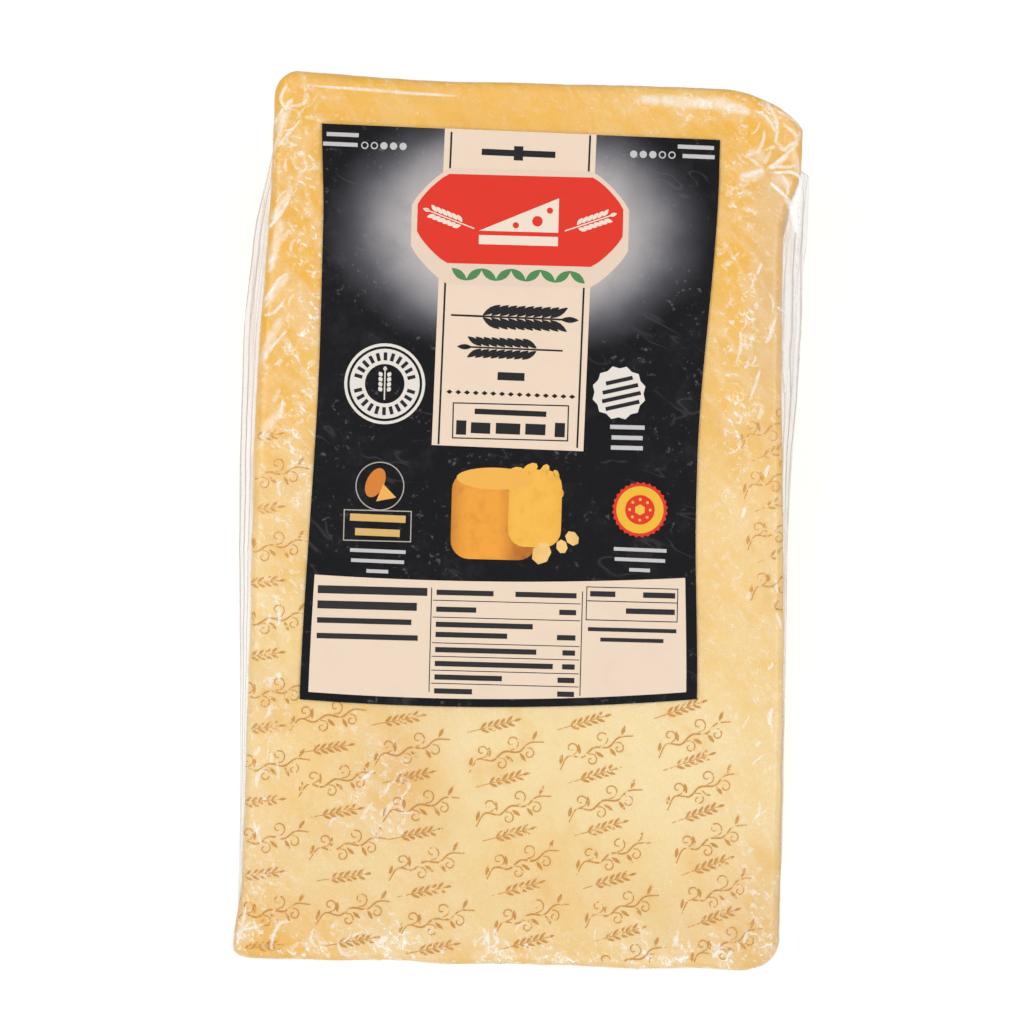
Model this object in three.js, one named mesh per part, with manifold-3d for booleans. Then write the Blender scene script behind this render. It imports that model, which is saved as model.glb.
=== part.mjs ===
// A wedge of hard grating cheese in a vacuum-shrunk clear bag, with a paper label on its upper cut face.
// Millimetres. The pack lies on its lower cut face at z = 0: the thin end toward -Y, the rind toward +Y,
// the wheel's flat side toward +X and the cut through the wheel's half height toward -X.
//
// The shapes are worked out in three lengths: x across the pack, v along a cut face from the thin end,
// and h up through the thickness. onWheel() then fans them out around the wheel's axis.

import * as THREE from 'three';
import { mergeVertices } from 'three/addons/utils/BufferGeometryUtils.js';
import Module from 'manifold-3d';

// the piece of the wheel
const SECTOR = THREE.MathUtils.degToRad(18); // a twentieth of the wheel's circle
const TIP_RADIUS = 11; // from the wheel's axis to the blunt thin end
const LENGTH = 209.8; // of a cut face, from the thin end to the rind
const LEFT_TIP = -62; // the half-height cut, at the thin end
const LEFT_DRAW_IN = 2.7; // how much it draws in toward the rind
const RIGHT_TIP = 66.1; // the wheel's flat side, at the thin end
const RIGHT_DRAW_IN = 3.1;
const RIM_LIP = 3.9; // the rim's bulge beyond the flat side
const EDGE_RADIUS = 2.5;
const RIND_RISE = 1.5; // of the rind's edge at its left end
const RIND_FALL = 0.5; // and its fall at the right end

// the bag's welded seam, standing out around three sides at half the thickness
const SEAM_THICKNESS = 1.1;
const SEAM_INSIDE = 5; // how far its root lies inside the pack
const SEAM_RIND = 3; // how far it stands out of the rind
const SEAM_WAVE = 0.45;

// the label
const LABEL_TOP = 197.7; // its edges as v, at the middle of the pack
const LABEL_BOTTOM = 61.2;
const LABEL_THICKNESS = 0.5;
const LABEL_GAP = 0.3;

// how finely the surfaces are divided
const CELLS_X = 24;
const CELLS_V = 38;
const CELLS_H = 12;
const EDGE_CELLS = 2; // of those, the ones that go round each edge

const { smoothstep } = THREE.MathUtils;

function thickness(v) {
  return (TIP_RADIUS + v) * SECTOR;
}

function edgeRadius(v) {
  return Math.min(EDGE_RADIUS, 0.45 * thickness(v));
}

function leftEdge(v) {
  return LEFT_TIP + LEFT_DRAW_IN * smoothstep(v, 120, 200) - 1.8 * (1 - smoothstep(v, 2, 20));
}

function rightEdge(v) {
  return RIGHT_TIP - RIGHT_DRAW_IN * smoothstep(v, 50, 170) + RIM_LIP * smoothstep(v, 176, 192);
}

// The slight unevenness of a broken cut face with film drawn over it.
function unevenness(x, v) {
  return 0.28 * Math.sin(x / 17 + v / 41) + 0.2 * Math.sin(v / 19 - x / 33 + 1.3) + 0.12 * Math.sin((x + v) / 11);
}

function onWheel(x, v, h) {
  const r = TIP_RADIUS + v;
  return new THREE.Vector3(x, r * Math.cos(h / r), r * Math.sin(h / r));
}

// Pulls the square corner of the outline, of the given reach, back to a rounded one.
// A fullness of 2 makes an ellipse, and one near 1 a bevel.
function roundCorner(p, cornerX, cornerV, reachX, reachV, fullness) {
  const a = 1 - Math.abs(cornerX - p.x) / reachX;
  const b = 1 - Math.abs(cornerV - p.y) / reachV;
  if (a <= 0 || b <= 0) {
    return;
  }
  const pull = Math.max(a, b) / (a ** fullness + b ** fullness) ** (1 / fullness);
  p.x = cornerX + Math.sign(p.x - cornerX || -cornerX) * reachX * (1 - a * pull);
  p.y = cornerV + Math.sign(p.y - cornerV || LENGTH / 2 - cornerV) * reachV * (1 - b * pull);
}

// Where a line of the grid lies between low and high, with EDGE_CELLS lines inside each edge's radius.
function gridLine(index, count, low, high, lowRadius, highRadius) {
  if (index <= EDGE_CELLS) {
    return low + (lowRadius * index) / EDGE_CELLS;
  }
  if (index >= count - EDGE_CELLS) {
    return high - (highRadius * (count - index)) / EDGE_CELLS;
  }
  const share = (index - EDGE_CELLS) / (count - 2 * EDGE_CELLS);
  return low + lowRadius + share * (high - highRadius - low - lowRadius);
}

function packSurface(i, j, k) {
  const v = gridLine(j, CELLS_V, 0, LENGTH, edgeRadius(0), EDGE_RADIUS);
  const radius = edgeRadius(v);
  const x = gridLine(i, CELLS_X, leftEdge(v), rightEdge(v), radius, radius);
  const h = gridLine(k, CELLS_H, 0, thickness(v), radius, radius);

  const p = new THREE.Vector3(x, v, h);
  const low = new THREE.Vector3(leftEdge(v), 0, 0).addScalar(radius);
  const high = new THREE.Vector3(rightEdge(v), LENGTH, thickness(v)).subScalar(radius);
  const core = p.clone().clamp(low, high);
  p.sub(core);
  const sideways = Math.max(Math.abs(p.x), Math.abs(p.y)); // the outline's own corners are rounded below
  p.multiplyScalar(radius / Math.hypot(sideways, p.z)).add(core);

  roundCorner(p, leftEdge(LENGTH), LENGTH, 5.5, 6, 1.8);
  roundCorner(p, rightEdge(LENGTH), LENGTH, 18, 9.5, 1.38);
  roundCorner(p, leftEdge(0), 0, 4, 2.5, 2);
  roundCorner(p, RIGHT_TIP, 0, 12, 8, 2.4);

  const up = THREE.MathUtils.clamp(p.z / thickness(p.y), 0, 1);
  const nearRind = smoothstep(p.y, LENGTH - 60, LENGTH);
  const nearTip = 1 - smoothstep(p.y, 0, 14);
  const rise = RIND_RISE * (1 - smoothstep(p.x, -58, -22)) - RIND_FALL * smoothstep(p.x, 30, 62);
  p.z += up * up * unevenness(p.x, p.y);
  p.x += 0.3 * Math.sin(p.y / 23 + p.z / 15) * up * (1 - up) * 4 * Math.sign(p.x);
  p.y += nearRind * rise + nearTip * (0.2 * Math.sin(p.x / 6.1) + 0.15 * Math.sin(p.x / 3.7 + 2));
  return onWheel(p.x, p.y, p.z);
}

// A closed box of grid lines, with each corner of the grid moved to where the surface has it.
function gridSolid(cellsX, cellsY, cellsZ, surface) {
  const box = new THREE.BoxGeometry(1, 1, 1, cellsX, cellsY, cellsZ);
  box.deleteAttribute('normal');
  box.deleteAttribute('uv');
  const solid = mergeVertices(box, 1e-5);
  const position = solid.getAttribute('position');
  for (let n = 0; n < position.count; n += 1) {
    const i = Math.round((position.getX(n) + 0.5) * cellsX);
    const j = Math.round((position.getY(n) + 0.5) * cellsY);
    const k = Math.round((position.getZ(n) + 0.5) * cellsZ);
    const p = surface(i, j, k);
    position.setXYZ(n, p.x, p.y, p.z);
  }
  return solid;
}

// The seam's outer edge on the left and on the right: widest where the bag spans the hollow beside the rim.
function seamLeft(v) {
  const widening = 3.3 * smoothstep(v, 20, 130);
  return -62.9 - widening + 1.4 * smoothstep(v, 150, 178) + 3.5 * smoothstep(v, 178, 203);
}

function seamRight(v) {
  return 66.6 + 2.6 * smoothstep(v, 100, 165);
}

// The seam's outline from the thin end up the left side, across the rind and down the right side.
function seamPath() {
  const outline = [];
  for (let v = 11; v <= 197; v += 6.2) {
    outline.push(new THREE.Vector2(seamLeft(v), v));
  }
  const top = LENGTH + SEAM_RIND;
  outline.push(new THREE.Vector2(-59.6, 203), new THREE.Vector2(-57, top - 2.5));
  for (let x = -52; x <= 56; x += 6) {
    outline.push(new THREE.Vector2(x, top));
  }
  outline.push(new THREE.Vector2(61, top - 2.5), new THREE.Vector2(65.5, top - 7), new THREE.Vector2(68.3, top - 13));
  for (let v = 193; v >= 13; v -= 6.2) {
    outline.push(new THREE.Vector2(seamRight(v), v));
  }
  return outline;
}

function seamSolid() {
  const outline = seamPath();
  const middle = new THREE.Vector2(1, LENGTH / 2);
  const half = new THREE.Vector2(66, LENGTH / 2);
  return gridSolid(1, outline.length - 1, 1, (i, j, k) => {
    const p = outline[j].clone();
    // The grid's left column is the seam's outer edge, and its right column the root inside the pack.
    if (i === 1) {
      const inward = middle.clone().sub(p);
      inward.x = Math.abs(inward.x) > half.x - 12 ? Math.sign(inward.x) : 0;
      inward.y = p.y > LENGTH - 14 ? -1 : 0;
      p.addScaledVector(inward, SEAM_INSIDE + 4);
    }
    const wave = i === 0 ? SEAM_WAVE * Math.sin(j * 1.1) : 0;
    const thin = Math.min(SEAM_THICKNESS, 0.5 * thickness(p.y));
    return onWheel(p.x, p.y, thickness(p.y) / 2 + wave + (k - 0.5) * thin);
  });
}

function labelLeft(v) {
  return -46.6 - 2.7 * (1 - smoothstep(v, 55, 150)) - 0.9 * smoothstep(v, 175, 200);
}

function labelRight(v) {
  return 43.6 + 3.4 * smoothstep(v, 118, 190) + 1.4 * (1 - smoothstep(v, 60, 108));
}

function labelTop(x) {
  return LABEL_TOP - 0.015 * x;
}

function labelBottom(x) {
  return LABEL_BOTTOM + 0.03 * x + 0.00084 * x * x;
}

function labelSolid() {
  const across = 15;
  const along = 20;
  return gridSolid(across, along, 1, (i, j, k) => {
    const level = LABEL_BOTTOM + ((LABEL_TOP - LABEL_BOTTOM) * j) / along;
    const x = labelLeft(level) + ((labelRight(level) - labelLeft(level)) * i) / across;
    const v = labelBottom(x) + ((labelTop(x) - labelBottom(x)) * j) / along;
    const face = thickness(v) + unevenness(x, v);
    return onWheel(x, v, face + LABEL_GAP + k * LABEL_THICKNESS);
  });
}

const wasm = await Module();
wasm.setup();

function toManifold(geometry) {
  const mesh = new wasm.Mesh({
    numProp: 3,
    vertProperties: new Float32Array(geometry.getAttribute('position').array),
    triVerts: new Uint32Array(geometry.getIndex().array),
  });
  return new wasm.Manifold(mesh);
}

function fromManifold(solid) {
  const mesh = solid.getMesh();
  const geometry = new THREE.BufferGeometry();
  const position = new Float32Array(mesh.numVert * 3);
  for (let n = 0; n < mesh.numVert; n += 1) {
    position.set(mesh.vertProperties.subarray(n * mesh.numProp, n * mesh.numProp + 3), n * 3);
  }
  geometry.setAttribute('position', new THREE.BufferAttribute(position, 3));
  geometry.setIndex(new THREE.BufferAttribute(new Uint32Array(mesh.triVerts), 1));
  return geometry;
}

function part(name, geometry, color, roughness) {
  geometry.computeVertexNormals();
  const mesh = new THREE.Mesh(geometry, new THREE.MeshStandardMaterial({ color, roughness }));
  mesh.name = name;
  return mesh;
}

const body = toManifold(gridSolid(CELLS_X, CELLS_V, CELLS_H, packSurface));
const pack = fromManifold(body.add(toManifold(seamSolid())));
const label = labelSolid();

// The origin is under the middle of the pack.
pack.computeBoundingBox();
const centre = pack.boundingBox.getCenter(new THREE.Vector3());
pack.translate(-centre.x, -centre.y, 0);
label.translate(-centre.x, -centre.y, 0);

const group = new THREE.Group();
group.name = 'packed_cheese_wedge';
group.add(part('sealed_pack', pack, 0xf0cf85, 0.35));
group.add(part('label', label, 0x2a2b33, 0.5));

export default group;
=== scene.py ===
# %% [markdown]
# # A wedge of hard grating cheese in a vacuum bag
#
# The object is a wedge cut from a cheese wheel, sealed in clear film, with a paper label on its upper cut face.
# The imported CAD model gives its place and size, and stays the measure of everything that follows.
# Lengths are thought of in millimetres, so MM turns them into Blender's metres.

# %% the fixed frame
import math
import random

import bpy
import numpy as np
from mathutils import Matrix, Vector
from mathutils.bvhtree import BVHTree


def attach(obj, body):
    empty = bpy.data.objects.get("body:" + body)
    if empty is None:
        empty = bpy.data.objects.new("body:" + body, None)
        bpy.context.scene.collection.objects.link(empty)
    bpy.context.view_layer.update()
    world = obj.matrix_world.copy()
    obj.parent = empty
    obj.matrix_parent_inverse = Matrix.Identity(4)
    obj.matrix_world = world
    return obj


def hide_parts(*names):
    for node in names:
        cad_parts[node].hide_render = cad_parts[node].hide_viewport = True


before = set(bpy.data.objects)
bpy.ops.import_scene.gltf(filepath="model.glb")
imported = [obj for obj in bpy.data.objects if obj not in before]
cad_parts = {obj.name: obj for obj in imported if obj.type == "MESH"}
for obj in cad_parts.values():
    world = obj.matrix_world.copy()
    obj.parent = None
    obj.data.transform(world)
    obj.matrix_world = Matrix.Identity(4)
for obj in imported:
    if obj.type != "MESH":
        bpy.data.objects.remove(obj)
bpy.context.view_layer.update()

MM = 0.001

# %% [markdown]
# ## The wedge's own lengths
#
# A wedge fans out around the wheel's axis, so plain x, y and z are awkward for it.
# Three other lengths suit it better: x across the pack, v along the cut face from the thin end, and h up through
# the thickness. on_wheel turns them into a place in the scene, and every piece below is shaped with it.

# %% the wedge's measures
SECTOR = math.radians(18)
TIP_RADIUS, LENGTH = 11.0, 209.8
EDGE_RADIUS = 2.5
MIDDLE = (-1.467, -116.318)  # brings the middle of the pack over the origin


def smoothstep(t, low, high):
    s = np.clip((np.asarray(t, float) - low) / (high - low), 0, 1)
    return s * s * (3 - 2 * s)


def thickness(v):
    return (TIP_RADIUS + v) * SECTOR


def edge_radius(v):
    return np.minimum(EDGE_RADIUS, 0.45 * thickness(v))


def left_edge(v):
    return -62 + 2.7 * smoothstep(v, 120, 200) - 1.8 * (1 - smoothstep(v, 2, 20))


def right_edge(v):
    return 66.1 - 3.1 * smoothstep(v, 50, 170) + 3.9 * smoothstep(v, 176, 192)


def rind_lean(x):
    """How far the rind end stands out beyond LENGTH: a little on the left, less on the right."""
    return 1.5 * (1 - smoothstep(x, -58, -22)) - 0.5 * smoothstep(x, 30, 62)


def unevenness(x, v):
    """The slight unevenness of a broken cut face with film drawn over it."""
    return 0.28 * np.sin(x / 17 + v / 41) + 0.2 * np.sin(v / 19 - x / 33 + 1.3) + 0.12 * np.sin((x + v) / 11)


def on_wheel(x, v, h):
    r = TIP_RADIUS + v
    return np.stack([x + MIDDLE[0], r * np.cos(h / r) + MIDDLE[1], r * np.sin(h / r)], axis=-1) * MM


print("thickness in mm at the thin end and at the rind:", round(thickness(0), 1), round(thickness(LENGTH), 1))

# %% [markdown]
# ## Selecting and moving by place
#
# An operator acts on all that is selected, so each step starts from a clean selection.
# Two small helpers read a mesh's corner points as a table of numbers and write them back after a change:
# that is sculpting by formula, where every point goes exactly where the wedge's surface is.

# %% clean selection, read and write points
def deselect():
    if bpy.context.object and bpy.context.object.mode != "OBJECT":
        bpy.ops.object.mode_set(mode="OBJECT")
    bpy.ops.object.select_all(action="DESELECT")


def pick(*pieces):
    deselect()
    for piece in pieces:
        piece.select_set(True)
    bpy.context.view_layer.objects.active = pieces[0]
    return pieces[0]


def points(piece):
    table = np.empty(len(piece.data.vertices) * 3)
    piece.data.vertices.foreach_get("co", table)
    return table.reshape(-1, 3)


def move_points(piece, table):
    piece.data.vertices.foreach_set("co", np.asarray(table, float).ravel())
    piece.data.update()


def apply_modifiers(piece):
    pick(piece)
    for modifier in list(piece.modifiers):
        bpy.ops.object.modifier_apply(modifier=modifier.name)


def select_only(piece, kind, chosen):
    """Selects the chosen vertices, edges or polygons and nothing else."""
    for name in ("vertices", "edges", "polygons"):
        parts = getattr(piece.data, name)
        parts.foreach_set("select", chosen if name == kind else np.zeros(len(parts), bool))


def on_all(operator, **settings):
    """Runs an edit-mode operator on the whole of the active piece."""
    bpy.ops.object.mode_set(mode="EDIT")
    bpy.ops.mesh.select_all(action="SELECT")
    operator(**settings)
    bpy.ops.object.mode_set(mode="OBJECT")


def joined(pieces, name):
    pick(*pieces)
    bpy.ops.object.join()
    whole = bpy.context.object
    whole.name = whole.data.name = name
    return whole


def note(piece, name, values):
    """Keeps one number per point on the mesh, for a material to read."""
    layer = piece.data.attributes.new(name, "FLOAT", "POINT")
    layer.data.foreach_set("value", np.asarray(values, np.float32))


# %% [markdown]
# ## Shader maths in plain Python
#
# A pattern is a formula on the surface: noise, thresholds, masks. Writing it with node calls hides the formula,
# so a Wire wraps a node's output and the signs + - * / add the Math nodes. A Finish is one material's workbench.

# %% the wire and the workbench
def paint(code, held=0.87):
    """A colour as it looks on screen, RRGGBB, as the light values that shaders use.
    The lamps are strong enough to whiten the floor, so the pack's colours are held back by that much."""
    parts = [int(code[n:n + 2], 16) / 255 for n in (0, 2, 4)]
    return tuple(held * (p / 12.92 if p <= 0.04045 else ((p + 0.055) / 1.055) ** 2.4) for p in parts) + (1.0,)


class Wire:
    def __init__(self, bench, socket):
        self.bench, self.socket = bench, socket

    def maths(self, operation, *others):
        return self.bench.node("ShaderNodeMath", {"operation": operation}, [self, *others])

    def __add__(self, other):
        return self.maths("ADD", other)

    def __sub__(self, other):
        return self.maths("SUBTRACT", other)

    def __rsub__(self, other):
        return self.bench.node("ShaderNodeMath", {"operation": "SUBTRACT"}, [other, self])

    def __mul__(self, other):
        return self.maths("MULTIPLY", other)

    def __truediv__(self, other):
        return self.maths("DIVIDE", other)

    __radd__, __rmul__ = __add__, __mul__

    def size(self):
        return self.maths("ABSOLUTE")

    def most(self, other):
        return self.maths("MAXIMUM", other)

    def ease(self, low, high):
        """0 below low and 1 above high, with a soft step between; low may be above high."""
        inputs = {"Value": self, "From Min": low, "From Max": high}
        return self.bench.node("ShaderNodeMapRange", {"interpolation_type": "SMOOTHSTEP"}, inputs)


class Finish:
    def __init__(self, name):
        self.material = bpy.data.materials.new(name)
        self.material.use_nodes = True
        self.tree = self.material.node_tree
        self.tree.nodes.clear()
        self.place = self.node("ShaderNodeTexCoord", output="Object").socket

    def node(self, kind, settings=None, inputs=(), output=0):
        made = self.tree.nodes.new(kind)
        for key, value in (settings or {}).items():
            setattr(made, key, value)
        for key, value in dict(inputs if isinstance(inputs, dict) else enumerate(inputs)).items():
            if isinstance(value, Wire):
                value = value.socket
            if isinstance(value, bpy.types.NodeSocket):
                self.tree.links.new(value, made.inputs[key])
            else:
                made.inputs[key].default_value = value
        return Wire(self, made.outputs[output]) if made.outputs else made

    def stretched(self, turn=0.0, scale=(1, 1, 1), shift=(0, 0, 0)):
        """Places in mm on the piece, turned and stretched, to lay a pattern along a direction."""
        turned = self.node("ShaderNodeMapping", {"vector_type": "TEXTURE"}, {"Vector": self.place,
                           "Rotation": (0, 0, math.radians(turn)), "Scale": [MM / s for s in scale]})
        return self.node("ShaderNodeVectorMath", {"operation": "ADD"}, [turned, shift])

    def noise(self, grain, detail=2.0, where=None, rough=0.5, warp=0.0):
        """Noise from 0 to 1 whose blotches are about grain mm across."""
        inputs = {"Vector": where or self.stretched(), "Scale": 1 / grain, "Detail": detail, "Roughness": rough,
                  "Distortion": warp}
        return self.node("ShaderNodeTexNoise", {}, inputs, "Fac")

    def cells(self, size, where=None, feature="F1"):
        """Distance from the middles or the edges of cells about size mm across."""
        inputs = {"Vector": where or self.stretched(), "Scale": 1 / size}
        return self.node("ShaderNodeTexVoronoi", {"feature": feature}, inputs, "Distance")

    def noted(self, name):
        return self.node("ShaderNodeAttribute", {"attribute_name": name}, output="Fac")

    def mixed(self, factor, first, second):
        """From the first colour to the second; a Mix node has these at sockets 0, 6 and 7."""
        return self.node("ShaderNodeMix", {"data_type": "RGBA"}, {0: factor, 6: first, 7: second}, 2)

    def bump(self, height, depth, below=None):
        inputs = {"Height": height, "Distance": depth * MM, "Strength": 1.0}
        if below:
            inputs["Normal"] = below
        return self.node("ShaderNodeBump", {}, inputs, "Normal")

    def finish(self, **sockets):
        shader = self.node("ShaderNodeBsdfPrincipled", {}, {key.replace("_", " "): v for key, v in sockets.items()})
        self.node("ShaderNodeOutputMaterial", {}, {"Surface": shader})
        return self.material


# %% [markdown]
# ## Camera, floor and light
#
# The labelled face slopes by the wedge's angle, and the photo looks straight down on it from far away.
# So the camera's line of sight is that face's own normal, and a long lens gives the photo's flat perspective.

# %% the camera
ROLL = math.radians(1.5)
LENS, SENSOR = 177.78, 36  # mm
CAMERA_PLACE = (-0.001498, -0.374451, 1.177882)
CAMERA_DISTANCE = 1200  # mm, from the labelled face
face_across = np.array([1, 0, 0])
face_along = np.array([0, math.cos(SECTOR), math.sin(SECTOR)])
face_normal = np.array([0, -math.sin(SECTOR), math.cos(SECTOR)])
camera_right = face_across * math.cos(ROLL) + face_along * math.sin(ROLL)
camera_up = face_along * math.cos(ROLL) - face_across * math.sin(ROLL)

deselect()
bpy.ops.object.camera_add()
camera = bpy.context.object
camera.name = "camera"
camera.data.lens, camera.data.sensor_width = LENS, SENSOR
camera.data.clip_start, camera.data.clip_end = 0.1, 5
axes = np.stack([camera_right, camera_up, face_normal], axis=1)
camera.matrix_world = Matrix(axes.tolist()).to_4x4()
camera.location = CAMERA_PLACE
bpy.context.scene.camera = camera
print("camera's field of view at the pack in mm:", round(CAMERA_DISTANCE * SENSOR / LENS, 1))

# %% [markdown]
# The pack lies on a plain pale floor that glows a little, like a light table, which keeps the shadow faint and lights
# the clear margins from below. The rest is an even pale sky, as in a white photo tent, and three large soft lamps
# round the camera, far enough aside that none mirrors in the film: seen from between them, an object hides most of
# its own shadows.

# %% floor and lights
FLOOR_SIZE, FLOOR_DROP = 6, 0.0003  # m
scene = bpy.context.scene
scene.view_settings.view_transform = "Standard"
scene.cycles.transparent_max_bounces = 24  # light may pass many layers of clear film
deselect()
bpy.ops.mesh.primitive_plane_add(size=FLOOR_SIZE, location=(0, 0, -FLOOR_DROP))
floor = bpy.context.object
floor.name = "floor"
pale = Finish("pale_floor")
tone = pale.mixed(pale.noise(60, 3), paint("C8C8C8", 1), paint("CCCCCC", 1))
floor.data.materials.append(pale.finish(Base_Color=tone, Roughness=0.9, Specular_IOR_Level=0.0,
                                        Emission_Color=paint("FFFFFF", 1), Emission_Strength=0.57))

world = bpy.data.worlds.new("tent")
world.use_nodes = True
world.node_tree.nodes["Background"].inputs["Color"].default_value = (1, 1, 1, 1)
world.node_tree.nodes["Background"].inputs["Strength"].default_value = 0.42
scene.world = world


LAMP_DISTANCE, LAMP_SIZE = 1.5, 0.7  # m


def soft_lamp(name, aside, upward, power):
    """A round lamp that looks at the pack, turned away from the camera's line by the two angles in degrees."""
    a, u = math.radians(aside), math.radians(upward)
    place = face_normal * math.cos(a) * math.cos(u) + face_across * math.sin(a)
    place = Vector((place + face_along * math.sin(u) * math.cos(a)) * LAMP_DISTANCE)
    deselect()
    bpy.ops.object.light_add(type="AREA", location=place)
    lamp = bpy.context.object
    lamp.name = name
    lamp.data.shape, lamp.data.size, lamp.data.energy = "DISK", LAMP_SIZE, power
    lamp.rotation_mode = "QUATERNION"
    lamp.rotation_quaternion = place.to_track_quat("Z", "Y")


soft_lamp("key_lamp", -25, 13, 8.2)
soft_lamp("fill_lamp", 26, 5, 6.6)
soft_lamp("low_lamp", 3, -27, 3.4)

# %% [markdown]
# ## A block with a fine grid
#
# The cheese and the film both start as a cube. Its edges are cut into cells along one direction after another,
# which gives an even grid on all six sides, and then every point of the grid moves to the wedge's surface.
# The operator makes a hundred cuts at most, so a large number of cells is reached in two goes.

# %% a cube cut into cells
EDGE_CELLS = 4  # how many cells lie across a rounded edge


def cut_edges(piece, axis, cuts):
    """Cuts each edge that runs along the axis into equal parts."""
    ends = np.empty(len(piece.data.edges) * 2, int)
    piece.data.edges.foreach_get("vertices", ends)
    spans = np.abs(np.diff(points(piece)[ends.reshape(-1, 2)], axis=1))[:, 0]
    select_only(piece, "edges", spans[:, axis] > 1e-5)
    bpy.context.tool_settings.mesh_select_mode = (False, True, False)
    bpy.ops.object.mode_set(mode="EDIT")
    bpy.ops.mesh.subdivide(number_cuts=cuts)
    bpy.ops.object.mode_set(mode="OBJECT")


def fine_block(name, cells):
    deselect()
    bpy.ops.mesh.primitive_cube_add(size=2)
    block = bpy.context.object
    block.name = block.data.name = name
    for axis, count in enumerate(cells):
        for parts in (count // 4, 4):
            cut_edges(block, axis, parts - 1)
    return block


def grid_line(share, count, low, high, low_radius, high_radius):
    """Where the grid's points lie from low to high: close together across both rounded edges, even between."""
    index = share * count
    span = high - high_radius - low - low_radius
    middle = low + low_radius + (index - EDGE_CELLS) / (count - 2 * EDGE_CELLS) * span
    near_low = low + low_radius * index / EDGE_CELLS
    near_high = high - high_radius * (count - index) / EDGE_CELLS
    return np.where(index <= EDGE_CELLS, near_low, np.where(index >= count - EDGE_CELLS, near_high, middle))


def round_corner(x, v, corner_x, corner_v, reach_x, reach_v, fullness):
    """Pulls the outline's square corner back to a rounded one."""
    a = 1 - np.abs(corner_x - x) / reach_x
    b = 1 - np.abs(corner_v - v) / reach_v
    inside = (a > 0) & (b > 0)
    a, b = np.where(inside, a, 1), np.where(inside, b, 1)
    pull = np.maximum(a, b) / (a ** fullness + b ** fullness) ** (1 / fullness)
    side_x = np.where(x == corner_x, -np.sign(corner_x), np.sign(x - corner_x))
    side_v = np.where(v == corner_v, np.sign(LENGTH / 2 - corner_v), np.sign(v - corner_v))
    return (np.where(inside, corner_x + side_x * reach_x * (1 - a * pull), x),
            np.where(inside, corner_v + side_v * reach_v * (1 - b * pull), v))


def wedge_shape(block, cells):
    """Where the points of a cube's grid lie on the wedge: x, v and h."""
    share = (points(block) + 1) / 2
    v = grid_line(share[:, 1], cells[1], 0, LENGTH, edge_radius(0), EDGE_RADIUS)
    radius = edge_radius(v)
    low = np.stack([left_edge(v), 0 * v, 0 * v], axis=1)
    high = np.stack([right_edge(v), 0 * v + LENGTH, thickness(v)], axis=1)
    place = np.stack([grid_line(share[:, 0], cells[0], low[:, 0], high[:, 0], radius, radius), v,
                      grid_line(share[:, 2], cells[2], low[:, 2], high[:, 2], radius, radius)], axis=1)
    core = np.clip(place, low + radius[:, None], high - radius[:, None])
    out = place - core
    sideways = np.maximum(np.abs(out[:, 0]), np.abs(out[:, 1]))
    out *= (radius / np.hypot(sideways, out[:, 2]))[:, None]
    x, v, h = (out + core).T
    for corner in ((left_edge(LENGTH), LENGTH, 5.5, 6, 1.8), (right_edge(LENGTH), LENGTH, 18, 9.5, 1.5),
                   (left_edge(0), 0, 4, 2.5, 2), (right_edge(0), 0, 12, 8, 2.4)):
        x, v = round_corner(x, v, *corner)
    up = np.clip(h / thickness(v), 0, 1)
    h = h + up * up * unevenness(x, v)
    tip = 1 - smoothstep(v, 0, 14)
    wavy = 0.3 * np.sin(v / 23 + h / 15) * up * (1 - up) * 4 * np.sign(x)
    ragged = tip * (0.2 * np.sin(x / 6.1) + 0.15 * np.sin(x / 3.7 + 2))
    return x + wavy, v + smoothstep(v, LENGTH - 60, LENGTH) * rind_lean(x) + ragged, h


def wedge_block(name, cells, lump=7, depth=0.5):
    """A fine block in the wedge's shape with a soft roughness pressed in, and its points' x, v and h before that."""
    block = fine_block(name, cells)
    x, v, h = wedge_shape(block, cells)
    move_points(block, on_wheel(x, v, h))
    clouds = bpy.data.textures.new(f"{name}_clouds", "CLOUDS")
    clouds.noise_scale, clouds.noise_depth = lump * MM, 2
    press = block.modifiers.new("grain", "DISPLACE")
    press.texture, press.strength, press.mid_level = clouds, depth * MM, 0.5
    apply_modifiers(block)
    return block, x, v, h


# %% [markdown]
# ## The cheese
#
# Hard grating cheese breaks rather than cuts: its faces are matt and finely granular, golden toward the rind and
# pale toward the wheel's heart. It lies a quarter of a millimetre inside the film, so its block takes the wedge's
# shape, gets a slight roughness all over and is then drawn in along its normals.

# %% the cheese block
INSIDE_FILM = 0.25  # mm
cheese, cheese_x, cheese_v, cheese_h = wedge_block("cheese", (96, 160, 48))
pick(cheese)
on_all(bpy.ops.transform.shrink_fatten, value=-INSIDE_FILM * MM)
bpy.ops.object.shade_smooth()
print("cheese faces:", len(cheese.data.polygons))

# %% [markdown]
# ## Where the cheese is golden
#
# The tone is a map over the piece, read off in broad strokes: golden along the rind and down the left side, pale in
# the lower middle, warmer patches in the lower corners. Each stroke is a soft spot: a place, two reaches and a
# strength. The sum is kept on the mesh, and the material turns it into colour. Three more maps are kept beside it:
# where the cheese is tan, where loose film stands over its right side and greys it, partly its haze and partly
# painted shade, and where it is rind.

# %% soft spots
def spots(x, v, strokes):
    total = np.zeros(len(x))
    for at_x, at_v, reach_x, reach_v, strength in strokes:
        away = ((x - at_x) / reach_x) ** 2 + ((v - at_v) / reach_v) ** 2
        total += strength * np.exp(-away)
    return total


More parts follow.
